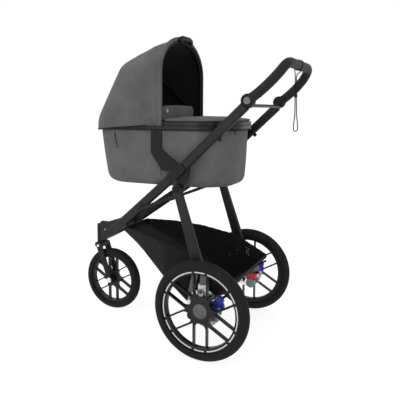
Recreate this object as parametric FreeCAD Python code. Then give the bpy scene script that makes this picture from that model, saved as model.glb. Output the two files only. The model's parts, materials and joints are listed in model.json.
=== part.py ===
import FreeCAD, Part
import math
import os

# Three-wheeled baby stroller with a lie-flat bassinet, millimetres.
# +X is the rider's left, -Y is forwards, +Z is up.
# The origin is on the ground under the centre of the stroller's outer box.

# Wheels
REAR_RADIUS = 195.0
REAR_SECTION = 23.0
REAR_HALF_TRACK = 291.0
FRONT_RADIUS = 147.0
FRONT_SECTION = 22.0
WHEELBASE = 587.0
SPOKE_PAIRS = 6
SPOKE_THICKNESS = 5.5
SPOKE_DEPTH = 18.0
THROAT_REACH = 1.85
REAR_RIM_WALL, FRONT_RIM_WALL = 18.0, 12.0
RIM_CHAMFER = 3.0
RIM_HALF_WIDTH = 14.0
REAR_TYRE_SEAT, FRONT_TYRE_SEAT = 34.0, 30.0
REAR_HUB_RADIUS, FRONT_HUB_RADIUS = 27.0, 20.0
AXLE_RADIUS = 8.0
CAP_RADIUS = 28.5
CAP_HEIGHT = 7.0
RUNNING = 0.08
GAP = 0.3

# Frame, heights above the ground and distances behind the rear axle
FRAME_HALF_WIDTH = 215.0
RAIL_WIDTH = 22.0
RAIL_DEPTH = 38.0
HUB_Y, HUB_Z = 150.0, 989.0
RAIL_TOP_Y, RAIL_TOP_Z = 140.0, 970.0
JOINT_Y, JOINT_Z = -140.0, 705.0
FOLD_Y, FOLD_Z = -160.0, 688.0
LEG_Y, LEG_Z = -130.0, 645.0
NOSE_Y, NOSE_Z = -542.0, 400.0
NOSE_HALF_WIDTH = 60.0
STEER_Y = -650.0
LEG_FOOT_Y, LEG_FOOT_Z = -28.0, 328.0
ARM_Y, ARM_Z = -60.0, 150.0
STRUT_Y = -15.0
BUSHING_RADIUS = 20.0
BUSHING_BOTTOM, BUSHING_TOP = 236.0, 280.0

# Handlebar
GRIP_RADIUS = 18.5
GRIP_Y, GRIP_Z = 280.0, 1127.0
GRIP_HALF_STRAIGHT = 150.0
EYE_RADIUS = 25.0
BUTTON_RADIUS = 13.5
COLLAR_HALF = 17.0
COLLAR_WALL = 2.5
HANDLE_BACK = GRIP_Y + GRIP_RADIUS + COLLAR_WALL

# Bassinet and canopy
BASSINET_HALF_WIDTH = 200.0
BASSINET_HEAD, BASSINET_FOOT = -592.0, 74.0
BASSINET_BOTTOM = 645.0
RIM_BOTTOM, RIM_TOP = 875.0, 908.0
RIM_THICKNESS = 12.0
BODY_WALL = 8.0
CORNER_RADIUS = 170.0
CANOPY_Y, CANOPY_Z = -222.0, 893.0
CANOPY_HALF_WIDTH = 205.0
CANOPY_WALL = 3.0
CROWN_TOP_Z = 1254.0
CREASE_Y, CREASE_Z = -312.0, 1240.0
MID_TOP_Y, MID_TOP_Z = -479.0, 1166.0
HEAD_TOP_Y, HEAD_TOP_Z = -611.0, 925.0
HEM_TOP_Y, HEM_TOP_Z = -613.0, 870.0
BOW_PIVOT_Z = 917.0
BOW_RADIUS = 4.5
BOW_EYE_THICKNESS, BOW_EYE_RADIUS, BOW_PIN_RADIUS = 3.0, 7.5, 3.0
FRONT_BOW_X, FRONT_EYE_LOW = 196.0, 194.5
MID_BOW_X, MID_EYE_LOW = 185.0, 188.3
BRACKET_IN, BRACKET_OUT = 184.0, 188.0

CORD_RADIUS = 2.0

REAR_AXLE_Y = (WHEELBASE + FRONT_RADIUS - HANDLE_BACK) / 2
ALONG_X = FreeCAD.Vector(1, 0, 0)
ALONG_Y = FreeCAD.Vector(0, 1, 0)
ALONG_Z = FreeCAD.Vector(0, 0, 1)
SIDES = (("left", 1), ("right", -1))

# Hubs and brake rotors
REAR_HUB_IN = REAR_HALF_TRACK - 33
REAR_HUB_OUT = REAR_HALF_TRACK + SPOKE_DEPTH / 2
REAR_PAIR_WIDTH = 54.0
FRONT_PAIR_WIDTH = 42.0
FRONT_HUB_HALF = 24.0
ROTOR_RADIUS = 73.0
ROTOR_RING = 15.0
ROTOR_THICKNESS = 3.0
ROTOR_ARMS = 6
ROTOR_IN = REAR_HUB_IN - ROTOR_THICKNESS

# Fork and steering head
FORK_INNER = 27.0
FORK_LEG = 11.0
CROWN_BOTTOM, CROWN_TOP = 300.0, 322.0
STEM_RADIUS = 10.0
STEM_TOP = 396.0
HEAD_RADIUS = 24.0
HEAD_TOP = 408.0
FORK_BOLT_Z = 308.0
FORK_BOLT_RADIUS = 3.0
HOUSING_BACK = -500.0
LOCK_Y, LOCK_Z = -640.0, 412.0
LOCK_HALF = 11.0
LOCK_DROP = 5.0

# Folding brace
BRACE_NOSE_X, BRACE_NOSE_Y, BRACE_NOSE_Z = 161.0, -342.0, 535.0
BRACE_LEG_X, BRACE_LEG_Y, BRACE_LEG_Z = 207.0, -150.0, 612.0
BRACE_THICKNESS = 6.0
BRACE_PIN_RADIUS = 4.0

# Pivots and side plates, distances from the middle of the stroller
FOLD_PIN_RADIUS = 7.0
LEG_PIN_RADIUS = 8.0
LEG_IN, LEG_OUT = 218.0, 240.0
COVER_IN, COVER_OUT = 226.4, 231.4
HUB_PLATE_IN, HUB_PLATE_OUT = 204.5, 217.4
HUB_IN, HUB_OUT = 203.5, 214.0

# Fold triggers
RAIL_RISE = math.atan2(RAIL_TOP_Z - JOINT_Z, RAIL_TOP_Y - JOINT_Y)
TRIGGER_Y = 25.0
TRIGGER_WIDTH = 10.0
TRIGGER_LENGTH = 14.0
TRIGGER_PULL = 10.0

# Handle eyes and buttons
EYE_IN, EYE_OUT = 214.3, 227.0
BUTTON_IN, BUTTON_OUT = 222.0, 230.0

# Wrist strap, one cord through the collar
STRAP_X = 0.0
STRAP_POINTS = (
    (265.2, 1113.2), (265.2, 1105.5), (267.2, 1094.0), (268.1, 1073.0), (268.5, 1040.0), (268.9, 1002.0),
    (269.3, 965.0), (269.6, 932.0), (266.3, 905.0), (265.4, 889.0), (265.6, 876.6), (270.2, 872.0),
    (276.6, 872.0), (281.2, 876.6), (281.4, 889.0), (280.6, 905.0), (276.4, 932.0), (274.9, 965.0),
    (273.8, 1002.0), (273.2, 1040.0), (272.7, 1073.0), (273.6, 1094.0), (291.0, 1103.0), (292.5, 1111.1),
)
SLIDER_Y, SLIDER_Z = 271.2, 1011.0
SLIDER_RADIUS, SLIDER_LENGTH, SLIDER_ROUND = 6.5, 15.0, 2.0

# Rear legs, swing arms and brakes
LEG_X_TOP, LEG_X_FOOT = 229.0, 236.0
LEG_WIDTH = 22.0
BEAM_RADIUS = 10.0
KNUCKLE_IN, KNUCKLE_OUT = 222.0, 236.0
ARM_IN, ARM_OUT = 236.6, 250.6
BUSHING_X = 233.0
CALIPER_Y, CALIPER_Z = 60.0, 227.0
BASE_Y, BASE_Z = 30.0, 150.0
BASE_RADIUS = 21.0
PAD_Y, PAD_Z = 36.0, 184.0
LEVER_Y, LEVER_Z = CALIPER_Y + 10, CALIPER_Z + 16

# Bassinet body: height, then how far it is drawn in at the sides, head and foot
BODY_LEVELS = (
    (645.0, 42.0, 62.0, 46.0),
    (656.0, 30.0, 44.0, 32.0),
    (676.0, 20.0, 34.0, 25.0),
    (875.0, 3.0, 6.0, 15.0),
)

# Mattress, apron and wind flap
MATTRESS_THICKNESS = 32.0
APRON_FRONT = -206.0
TONGUE_FRONT, TONGUE_HALF_WIDTH = -246.0, 160.0
APRON_THICKNESS = 10.0
FLAP_HALF_WIDTH = 158.0
FLAP_HEIGHT = 52.0

# Bassinet carrier arms
MOUNT_IN, MOUNT_OUT = 197.3, 202.0
LEDGE_FRONT, LEDGE_BACK = -138.0, -118.0
LEDGE_BOTTOM, LEDGE_TOP = 693.0, 699.0

# Hood arches: set-back of the foot, top (y, z) and shoulder height
CANOPY_STATIONS = (
    (0.0, CANOPY_Y, CROWN_TOP_Z, 150.0),
    (12.0, CREASE_Y, CREASE_Z, 155.0),
    (30.0, MID_TOP_Y, MID_TOP_Z, 165.0),
    (50.0, HEAD_TOP_Y, HEAD_TOP_Z, 175.0),
    (60.0, HEM_TOP_Y, HEM_TOP_Z, 175.0),
)

# Carry handle
CARRY_HALF, CARRY_RADIUS, CARRY_RISE = 55.0, 9.5, 16.0

# Basket sections: y, half width, floor and rim heights
BASKET_STATIONS = (
    (-457.0, 103.0, 410.0, 430.0), (-336.0, 150.0, 342.0, 424.0), (-205.0, 200.0, 253.0, 404.0),
    (-100.0, 210.0, 178.0, 384.0), (-45.0, 210.0, 165.0, 376.0), (37.0, 210.0, 224.0, 335.0),
    (108.0, 210.0, 286.0, 298.0),
)
BASKET_WALL = 3.0


def point(x, y, z):
    """A place given by its distance behind the rear axle and above the ground."""
    return FreeCAD.Vector(x, y + REAR_AXLE_Y, z)


def save(name, shape):
    shape.exportStep("parts/" + name + ".step")


def mirrored(shape):
    return shape.mirror(FreeCAD.Vector(0, 0, 0), ALONG_X)


def on_side(shape, side):
    return shape if side > 0 else mirrored(shape)


def save_pair(name, shape):
    for word, side in SIDES:
        save(name + "_" + word, on_side(shape, side))


def both_sides(shape):
    return Part.makeCompound([shape, mirrored(shape)])


def fused(first, *others):
    return first.multiFuse(list(others)).removeSplitter()


def disc(x_low, x_high, y, z, radius):
    """A round piece whose axis lies along X."""
    return Part.makeCylinder(radius, x_high - x_low, point(x_low, y, z), ALONG_X)


def block(x_low, x_high, y_low, y_high, z_low, z_high):
    corner = point(x_low, y_low, z_low)
    return Part.makeBox(x_high - x_low, y_high - y_low, z_high - z_low, corner)


def plate(x_low, x_high, outline):
    """A flat plate across X, cut to an outline of (y, z) corners."""
    corners = [point(x_low, y, z) for y, z in outline]
    face = Part.Face(Part.makePolygon(corners + corners[:1]))
    return face.extrude(ALONG_X * (x_high - x_low))


def link(x_low, x_high, start, end, radius):
    """A flat bar across X with round ends at two (y, z) centres."""
    run = FreeCAD.Vector(0, end[0] - start[0], end[1] - start[1])
    across = run.cross(ALONG_X).normalize() * radius
    a = point(x_low, *start)
    b = point(x_low, *end)
    web = Part.Face(Part.makePolygon([a + across, b + across, b - across, a - across, a + across]))
    ends = [disc(x_low, x_high, *centre, radius) for centre in (start, end)]
    return fused(web.extrude(ALONG_X * (x_high - x_low)), *ends)


def rounded_wire(half_x, y_low, y_high, radius, z):
    """A rounded rectangle lying flat at height z."""
    turn = radius * (1 - math.sqrt(0.5))
    edges = []
    corners = ((1, y_high, -1), (-1, y_high, -1), (-1, y_low, 1), (1, y_low, 1))
    arcs = []
    for side, y, inward in corners:
        on_side_edge = point(side * half_x, y + inward * radius, z)
        on_end_edge = point(side * (half_x - radius), y, z)
        middle = point(side * (half_x - turn), y + inward * turn, z)
        arcs.append((on_side_edge, middle, on_end_edge))
    arcs = [arcs[0], arcs[1][::-1], arcs[2], arcs[3][::-1]]
    for number, (start, middle, end) in enumerate(arcs):
        edges.append(Part.Arc(start, middle, end).toShape())
        edges.append(Part.makeLine(end, arcs[(number + 1) % 4][0]))
    return Part.Wire(edges)


def section_wire(centre, along, wide, deep, radius):
    """A rounded rectangle square to a direction, its width as near X as it can be."""
    across = along.cross(ALONG_X).normalize()
    sideways = across.cross(along).normalize()
    half_wide = wide / 2
    half_deep = deep / 2
    turn = radius * (1 - math.sqrt(0.5))
    arcs = []
    for u, v in ((1, 1), (-1, 1), (-1, -1), (1, -1)):
        tall = centre + sideways * (u * half_wide) + across * (v * (half_deep - radius))
        flat = centre + sideways * (u * (half_wide - radius)) + across * (v * half_deep)
        middle = centre + sideways * (u * (half_wide - turn)) + across * (v * (half_deep - turn))
        arcs.append((tall, middle, flat) if u == v else (flat, middle, tall))
    edges = []
    for number, (start, middle, end) in enumerate(arcs):
        edges.append(Part.Arc(start, middle, end).toShape())
        edges.append(Part.makeLine(end, arcs[(number + 1) % 4][0]))
    return Part.Wire(edges)


def bar(start, end, wide, deep, radius, end_deep=None):
    """A straight rail between two places, tapering if its end has another depth."""
    along = end - start
    first = section_wire(start, along, wide, deep, radius)
    last = section_wire(end, along, wide, end_deep or deep, radius)
    return Part.makeLoft([first, last], True, True)


def smooth_path(points, share=0.45):
    """Straight runs joined by tangent arcs as large as a share of the shorter run allows."""
    edges = []
    radii = []
    here = points[0]
    for before, corner, after in zip(points, points[1:], points[2:]):
        back = (before - corner).normalize()
        ahead = (after - corner).normalize()
        half_turn = (math.pi - back.getAngle(ahead)) / 2
        reach = share * min((before - corner).Length, (after - corner).Length)
        radius = reach / math.tan(half_turn)
        bisector = (back + ahead).normalize()
        centre = corner + bisector * (radius / math.cos(half_turn))
        start = corner + back * reach
        end = corner + ahead * reach
        edges.append(Part.makeLine(here, start))
        edges.append(Part.Arc(start, centre - bisector * radius, end).toShape())
        radii.append(radius)
        here = end
    edges.append(Part.makeLine(here, points[-1]))
    return Part.Wire(edges), radii


def tube_along(points, radius):
    wire, radii = smooth_path(points)
    direction = points[1] - points[0]
    ring = Part.Wire(Part.Circle(points[0], direction, radius).toShape())
    return wire.makePipeShell([ring], True, False), wire.Length, radii


# Wheels

def tyre(x, y, radius, section, seat):
    ring = Part.makeTorus(radius - section, section, point(x, y, radius), ALONG_X)
    bore = disc(x - section, x + section, y, radius, radius - seat)
    return ring.cut(bore)


def spoke_pair(x, y, z, pair_width, hub_radius, reach):
    """Two parallel blades that leave the hub as one block with a round throat between them."""
    half = pair_width / 2
    throat = half - SPOKE_THICKNESS / 2
    throat_height = hub_radius + THROAT_REACH * throat
    x_low = x - SPOKE_DEPTH / 2
    x_high = x + SPOKE_DEPTH / 2
    outer = half + SPOKE_THICKNESS / 2
    body = block(x_low, x_high, y - outer, y + outer, z, z + reach)
    inside = block(x_low, x_high, y - throat, y + throat, z + throat_height, z + reach)
    bowl = disc(x_low, x_high, y, z + throat_height, throat)
    return body.cut(inside).cut(bowl)


def rim(x, y, radius, outer, wall, pair_width, hub_radius, hub_low, hub_high):
    """A moulded wheel: ring, paired blade spokes and a hub barrel with its axle bore."""
    inner = outer - wall
    half = RIM_HALF_WIDTH
    lip = inner + RIM_CHAMFER
    flat = half - RIM_CHAMFER
    profile = ((inner, -flat), (lip, -half), (outer, -half), (outer, half), (lip, half), (inner, flat))
    corners = [point(x + across, y, radius + out) for out, across in profile]
    face = Part.Face(Part.makePolygon(corners + corners[:1]))
    centre = point(x, y, radius)
    ring = face.revolve(centre, ALONG_X, 360)
    reach = inner + RIM_CHAMFER / 2
    spokes = []
    for number in range(SPOKE_PAIRS):
        pair = spoke_pair(x, y, radius, pair_width, hub_radius, reach)
        pair.rotate(centre, ALONG_X, number * 360 / SPOKE_PAIRS)
        spokes.append(pair)
    barrel = disc(hub_low, hub_high, y, radius, hub_radius)
    bore = disc(hub_low, hub_high, y, radius, AXLE_RADIUS + RUNNING)
    return fused(ring, barrel, *spokes).cut(bore)


def hub_cap(x, y, z):
    """A shallow dome over the outer end of the hub."""
    ball = (CAP_RADIUS ** 2 + CAP_HEIGHT ** 2) / (2 * CAP_HEIGHT)
    dome = Part.makeSphere(ball, point(x + CAP_HEIGHT - ball, y, z))
    return dome.common(disc(x, x + CAP_HEIGHT, y, z, CAP_RADIUS))


def rear_wheel():
    save_pair("rear_tyre", tyre(REAR_HALF_TRACK, 0, REAR_RADIUS, REAR_SECTION, REAR_TYRE_SEAT))
    wheel = rim(REAR_HALF_TRACK, 0, REAR_RADIUS, REAR_RADIUS - REAR_TYRE_SEAT, REAR_RIM_WALL,
                REAR_PAIR_WIDTH, REAR_HUB_RADIUS, REAR_HUB_IN, REAR_HUB_OUT)
    save_pair("rear_rim", wheel)
    save_pair("hub_cap", hub_cap(REAR_HUB_OUT, 0, REAR_RADIUS))
    save_pair("brake_rotor", brake_rotor())


def brake_rotor():
    """A steel ring on narrow arms, flush on the inner end of the hub."""
    span = (ROTOR_IN, REAR_HUB_IN, 0, REAR_RADIUS)
    ring = disc(*span, ROTOR_RADIUS).cut(disc(*span, ROTOR_RADIUS - ROTOR_RING))
    carrier = disc(*span, REAR_HUB_RADIUS + ROTOR_RING / 2)
    arms = []
    half = ROTOR_RING / 3
    reach = ROTOR_RADIUS - ROTOR_RING / 2
    for number in range(ROTOR_ARMS):
        arm = block(ROTOR_IN, REAR_HUB_IN, -half, half, REAR_RADIUS, REAR_RADIUS + reach)
        arm.rotate(point(0, 0, REAR_RADIUS), ALONG_X, number * 360 / ROTOR_ARMS)
        arms.append(arm)
    return fused(ring, carrier, *arms).cut(disc(*span, AXLE_RADIUS + 1))


def front_wheel():
    save("front_tyre", tyre(0, -WHEELBASE, FRONT_RADIUS, FRONT_SECTION, FRONT_TYRE_SEAT))
    wheel = rim(0, -WHEELBASE, FRONT_RADIUS, FRONT_RADIUS - FRONT_TYRE_SEAT, FRONT_RIM_WALL,
                FRONT_PAIR_WIDTH, FRONT_HUB_RADIUS, -FRONT_HUB_HALF, FRONT_HUB_HALF)
    save("front_rim", wheel)


# Front fork, which trails behind its steering stem


def fork():
    outer = FORK_INNER + FORK_LEG
    crown = block(-outer, outer, STEER_Y - 20, STEER_Y + 20, CROWN_BOTTOM, CROWN_TOP)
    crown = crown.makeFillet(6, crown.Edges)
    stem = Part.makeCylinder(STEM_RADIUS, STEM_TOP - CROWN_TOP, point(0, STEER_Y, CROWN_TOP))
    pieces = [stem]
    for side in (1, -1):
        x = side * (FORK_INNER + FORK_LEG / 2)
        top = point(x, STEER_Y + 2, CROWN_TOP - 8)
        foot = point(x, -WHEELBASE, FRONT_RADIUS)
        pieces.append(bar(top, foot, FORK_LEG, 34, 4, 24))
        eye_low = min(side * FORK_INNER, side * outer)
        pieces.append(disc(eye_low, eye_low + FORK_LEG, -WHEELBASE, FRONT_RADIUS, 15))
    bore = disc(-outer - 1, outer + 1, -WHEELBASE, FRONT_RADIUS, AXLE_RADIUS)
    bolt_hole = disc(-outer - 1, outer + 1, STEER_Y + 2, FORK_BOLT_Z, FORK_BOLT_RADIUS)
    return fused(crown, *pieces).cut(bore).cut(bolt_hole)


def fork_bolt():
    """A through bolt with a domed head each side of the crown."""
    outer = FORK_INNER + FORK_LEG
    shank = disc(-outer, outer, STEER_Y + 2, FORK_BOLT_Z, FORK_BOLT_RADIUS)
    heads = [disc(outer, outer + 3, STEER_Y + 2, FORK_BOLT_Z, 6)]
    heads.append(disc(-outer - 3, -outer, STEER_Y + 2, FORK_BOLT_Z, 6))
    return fused(shank, *heads)


def front_axle():
    outer = FORK_INNER + FORK_LEG
    shaft = disc(-outer, outer, -WHEELBASE, FRONT_RADIUS, AXLE_RADIUS)
    heads = [disc(outer, outer + 4, -WHEELBASE, FRONT_RADIUS, 12)]
    heads.append(disc(-outer - 4, -outer, -WHEELBASE, FRONT_RADIUS, 12))
    return fused(shaft, *heads)


# Front frame: two rails that close in to the steering head


def front_rail():
    eye = disc(FRAME_HALF_WIDTH - RAIL_WIDTH / 2, FRAME_HALF_WIDTH + RAIL_WIDTH / 2,
               FOLD_Y, FOLD_Z, RAIL_DEPTH / 2)
    start = point(FRAME_HALF_WIDTH, FOLD_Y, FOLD_Z)
    end = point(NOSE_HALF_WIDTH, NOSE_Y, NOSE_Z)
    rail = bar(start, end, RAIL_WIDTH, RAIL_DEPTH, 9, RAIL_DEPTH + 4)
    past_eye = block(FRAME_HALF_WIDTH + RAIL_WIDTH / 2, FRAME_HALF_WIDTH + RAIL_WIDTH,
                     FOLD_Y - RAIL_DEPTH, FOLD_Y + RAIL_DEPTH, FOLD_Z - RAIL_DEPTH, FOLD_Z + RAIL_DEPTH)
    lug = disc(BRACE_NOSE_X - 22, BRACE_NOSE_X - GAP, BRACE_NOSE_Y, BRACE_NOSE_Z, 11)
    bore = disc(FRAME_HALF_WIDTH - RAIL_WIDTH, FRAME_HALF_WIDTH + RAIL_WIDTH,
                FOLD_Y, FOLD_Z, FOLD_PIN_RADIUS + RUNNING)
    return fused(rail.cut(past_eye), eye, lug).cut(bore)


def nose_housing():
    """The moulded block that clamps both rails and holds the steering head."""
    side_shape = [(STEER_Y, 334), (STEER_Y + 35, 338), (NOSE_Y - 25, 366), (HOUSING_BACK, 396),
                  (HOUSING_BACK, 462), (NOSE_Y, 446), (STEER_Y + 12, HEAD_TOP + 6), (STEER_Y, HEAD_TOP)]
    back = NOSE_HALF_WIDTH + RAIL_WIDTH
    profile = plate(-back, back, side_shape)
    plan = [point(x, y, 300) for x, y in ((-22, STEER_Y), (22, STEER_Y), (back, HOUSING_BACK), (-back, HOUSING_BACK))]
    wedge = Part.Face(Part.makePolygon(plan + plan[:1])).extrude(ALONG_Z * 200)
    head = Part.makeCylinder(HEAD_RADIUS, HEAD_TOP - CROWN_TOP - GAP, point(0, STEER_Y, CROWN_TOP + GAP))
    socket = Part.makeCylinder(STEM_RADIUS + RUNNING, STEM_TOP + 1 - CROWN_TOP, point(0, STEER_Y, CROWN_TOP))
    pocket = block(-LOCK_HALF - GAP, LOCK_HALF + GAP, LOCK_Y - 14, LOCK_Y + 30, LOCK_Z - 8, LOCK_Z + 60)
    return fused(profile.common(wedge), head).cut(socket).cut(pocket)


def swivel_lock():
    """The button on the nose that drops a tooth into the steering stem."""
    return block(-LOCK_HALF, LOCK_HALF, LOCK_Y - 12, LOCK_Y + 28, LOCK_Z - 7.7 + LOCK_DROP, LOCK_Z + 4 + LOCK_DROP)


def folding_brace():
    """The slim bar under the frame; its rear eye turns on the leg's boss."""
    reach = BRACE_THICKNESS
    start = point(BRACE_LEG_X + reach / 2, BRACE_LEG_Y, BRACE_LEG_Z)
    end = point(BRACE_NOSE_X + reach / 2, BRACE_NOSE_Y, BRACE_NOSE_Z)
    rail = bar(start, end, reach, 14, 2)
    rear_eye = disc(BRACE_LEG_X, BRACE_LEG_X + reach, BRACE_LEG_Y, BRACE_LEG_Z, 9)
    nose_eye = disc(BRACE_NOSE_X, BRACE_NOSE_X + reach, BRACE_NOSE_Y, BRACE_NOSE_Z, 9)
    bore = disc(BRACE_LEG_X - 4, BRACE_LEG_X + 2 * reach, BRACE_LEG_Y, BRACE_LEG_Z, BRACE_PIN_RADIUS + RUNNING)
    outside = block(BRACE_LEG_X + reach, BRACE_LEG_X + 40, BRACE_LEG_Y - 40, BRACE_LEG_Y + 40,
                    BRACE_LEG_Z - 40, BRACE_LEG_Z + 40)
    return fused(rail, rear_eye, nose_eye).cut(outside).cut(bore)


# Upper frame


def upper_rail():
    joint = point(FRAME_HALF_WIDTH, JOINT_Y, JOINT_Z)
    top = point(FRAME_HALF_WIDTH, RAIL_TOP_Y, RAIL_TOP_Z)
    rail = bar(joint, top, RAIL_WIDTH, RAIL_DEPTH, 9)
    around_hub = disc(HUB_IN - 10, FRAME_HALF_WIDTH + RAIL_WIDTH, HUB_Y, HUB_Z, EYE_RADIUS + 1)
    around_fold = disc(HUB_IN - 10, FRAME_HALF_WIDTH + RAIL_WIDTH, FOLD_Y, FOLD_Z, RAIL_DEPTH / 2 + GAP)
    return rail.cut(around_hub).cut(around_fold).cut(trigger_slot())


def side_hub():
    """The joint that ties the upper rail, the front rail's pivot and the leg's pivot together."""
    cover = link(COVER_IN, COVER_OUT, (JOINT_Y + 22, JOINT_Z + 20), (FOLD_Y, FOLD_Z), 19)
    web = plate(HUB_PLATE_IN, HUB_PLATE_OUT,
                [(-139, 708), (-80, 760), (-92, 700), (-110, 640), (-130, 633), (-142, 645), (-139, 664)])
    ledge = block(MOUNT_IN, HUB_PLATE_IN + 1, LEDGE_FRONT, LEDGE_BACK, LEDGE_BOTTOM, LEDGE_TOP)
    spacer = disc(FRAME_HALF_WIDTH, COVER_IN, JOINT_Y + 22, JOINT_Z + 20, 11)
    boss = disc(HUB_PLATE_IN, HUB_PLATE_OUT, LEG_Y, LEG_Z, 12)
    fold_pin = disc(FRAME_HALF_WIDTH - RAIL_WIDTH / 2, COVER_IN, FOLD_Y, FOLD_Z, FOLD_PIN_RADIUS)
    leg_pin = disc(HUB_PLATE_OUT, LEG_OUT + GAP, LEG_Y, LEG_Z, LEG_PIN_RADIUS)
    leg_cap = disc(LEG_OUT + GAP, LEG_OUT + 4, LEG_Y, LEG_Z, 13)
    turning_eye = disc(HUB_IN - 10, COVER_IN - GAP / 3, FOLD_Y, FOLD_Z, RAIL_DEPTH / 2 + GAP)
    inner = fused(web, boss, leg_pin, leg_cap, ledge).cut(turning_eye)
    return fused(inner, cover, fold_pin, spacer).cut(upper_rail())


def handle_hub():
    return disc(HUB_IN, HUB_OUT, HUB_Y, HUB_Z, EYE_RADIUS + 1)


def cross_brace():
    """A slim tie between the handle hubs, flared at both ends."""
    rod = disc(-HUB_IN, HUB_IN, HUB_Y + 2, HUB_Z - 18, 6.5)
    flare = Part.makeCone(10.5, 6.5, 34, point(-HUB_IN, HUB_Y + 2, HUB_Z - 18), ALONG_X)
    return fused(rod, flare, mirrored(flare))


def along_rail(shape):
    """Turns a piece drawn level at the trigger's place onto the slope of the upper rail."""
    share = (TRIGGER_Y - JOINT_Y) / (RAIL_TOP_Y - JOINT_Y)
    z = JOINT_Z + share * (RAIL_TOP_Z - JOINT_Z)
    shape.rotate(FreeCAD.Vector(0, 0, 0), ALONG_X, math.degrees(RAIL_RISE))
    shape.translate(point(FRAME_HALF_WIDTH, TRIGGER_Y, z))
    return shape


def level_box(half_x, y_low, y_high, z_low, z_high):
    return Part.makeBox(2 * half_x, y_high - y_low, z_high - z_low, FreeCAD.Vector(-half_x, y_low, z_low))


def trigger_slot():
    half = TRIGGER_LENGTH / 2 + GAP
    return along_rail(level_box(TRIGGER_WIDTH / 2 + GAP, -half, half + TRIGGER_PULL, -RAIL_DEPTH / 2 - 1, -11))


def fold_trigger():
    half = TRIGGER_LENGTH / 2
    return along_rail(level_box(TRIGGER_WIDTH / 2, -half, half, -RAIL_DEPTH / 2 - 11, -11 - GAP))


# Handlebar


def handlebar():
    """One bent tube with a flat eye at each end that turns on the handle hubs."""
    near = [point(FRAME_HALF_WIDTH + 4, HUB_Y + 8, HUB_Z + 6), point(FRAME_HALF_WIDTH - 1, 183, 1013),
            point(211, 222, 1047), point(201, 257, 1086), point(183, 276, 1116), point(148, GRIP_Y, GRIP_Z)]
    far = [FreeCAD.Vector(-p.x, p.y, p.z) for p in reversed(near)]
    grip, _, _ = tube_along(near + far, GRIP_RADIUS)
    eyes = []
    for side in (1, -1):
        eyes.append(on_side(disc(EYE_IN, EYE_OUT, HUB_Y, HUB_Z, EYE_RADIUS), side))
    shape = fused(grip, *eyes)
    for side in (1, -1):
        pocket = disc(BUTTON_IN - 4, EYE_OUT + 20, HUB_Y, HUB_Z, BUTTON_RADIUS + GAP)
        inboard = disc(HUB_IN - 20, EYE_IN - 0.01, HUB_Y, HUB_Z, EYE_RADIUS + 4)
        shape = shape.cut(on_side(pocket, side)).cut(on_side(inboard, side))
    return shape


def handle_button():
    return disc(BUTTON_IN, BUTTON_OUT, HUB_Y, HUB_Z, BUTTON_RADIUS)


def strap_collar(cord):
    """A sleeve on the grip that the wrist strap is threaded through."""
    sleeve = disc(-COLLAR_HALF, COLLAR_HALF, GRIP_Y, GRIP_Z, GRIP_RADIUS + COLLAR_WALL)
    return sleeve.cut(disc(-COLLAR_HALF, COLLAR_HALF, GRIP_Y, GRIP_Z, GRIP_RADIUS)).cut(cord)


# Wrist strap: one doubled cord that hangs from the collar


def wrist_strap():
    points = [point(STRAP_X, y, z) for y, z in STRAP_POINTS]
    cord, length, radii = tube_along(points, CORD_RADIUS)
    section = math.pi * CORD_RADIUS ** 2
    print("strap length %.1f mm, volume ratio %.4f" % (length, cord.Volume / (section * length)))
    print("strap bend radii", [round(radius, 1) for radius in radii])
    return cord


def strap_slider(cord):
    """The barrel that gathers the two strands."""
    base = point(STRAP_X, SLIDER_Y, SLIDER_Z - SLIDER_LENGTH / 2)
    barrel = Part.makeCylinder(SLIDER_RADIUS, SLIDER_LENGTH, base)
    rims = [edge for edge in barrel.Edges if edge.Closed]
    return barrel.makeFillet(SLIDER_ROUND, rims).cut(cord)


# Rear legs and the parts they carry


def rear_leg():
    """A tapering blade from the side hub down to a level foot, with the folding brace's boss."""
    top = point(LEG_X_TOP, LEG_Y, LEG_Z)
    foot = point(LEG_X_FOOT, LEG_FOOT_Y, LEG_FOOT_Z)
    past_foot = foot + (foot - top).normalize() * 20
    blade = bar(top, past_foot, LEG_WIDTH, 36, 8, 50)
    below = block(LEG_X_FOOT - 40, LEG_X_FOOT + 40, LEG_FOOT_Y - 60, LEG_FOOT_Y + 60, LEG_FOOT_Z - 60, LEG_FOOT_Z)
    eye = disc(LEG_IN, LEG_OUT, LEG_Y, LEG_Z, 19)
    boss = disc(BRACE_LEG_X + BRACE_THICKNESS + GAP, LEG_IN + 2, BRACE_LEG_Y, BRACE_LEG_Z, 8)
    lug = link(LEG_IN, LEG_IN + 6, (BRACE_LEG_Y, BRACE_LEG_Z), (LEG_Y + 8, LEG_Z - 24), 8)
    pin = disc(BRACE_LEG_X - 1, LEG_IN + 2, BRACE_LEG_Y, BRACE_LEG_Z, BRACE_PIN_RADIUS)
    bore = disc(LEG_IN - 4, LEG_OUT + 4, LEG_Y, LEG_Z, LEG_PIN_RADIUS + RUNNING)
    too_wide = disc(LEG_IN - 20, LEG_IN, LEG_Y, LEG_Z, 26).fuse(disc(LEG_OUT, LEG_OUT + 20, LEG_Y, LEG_Z, 26))
    return fused(blade.cut(below).cut(too_wide), eye, boss, lug, pin).cut(bore)


def leg_knuckle():
    """The hooked bracket that drops from the leg's foot to the swing arm's pivot."""
    start = (LEG_FOOT_Y - 22, LEG_FOOT_Z - 14)
    waist = (ARM_Y - 8, ARM_Z + 80)
    upper = link(KNUCKLE_IN, KNUCKLE_OUT, start, waist, 12)
    lower = link(KNUCKLE_IN, KNUCKLE_OUT, waist, (ARM_Y, ARM_Z), 12)
    top = block(KNUCKLE_IN, KNUCKLE_OUT, start[0] - 12, start[0] + 12, start[1], LEG_FOOT_Z)
    beam = disc(KNUCKLE_IN - 1, KNUCKLE_OUT, ARM_Y, ARM_Z, BEAM_RADIUS)
    return fused(upper, lower, top).cut(beam)


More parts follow.
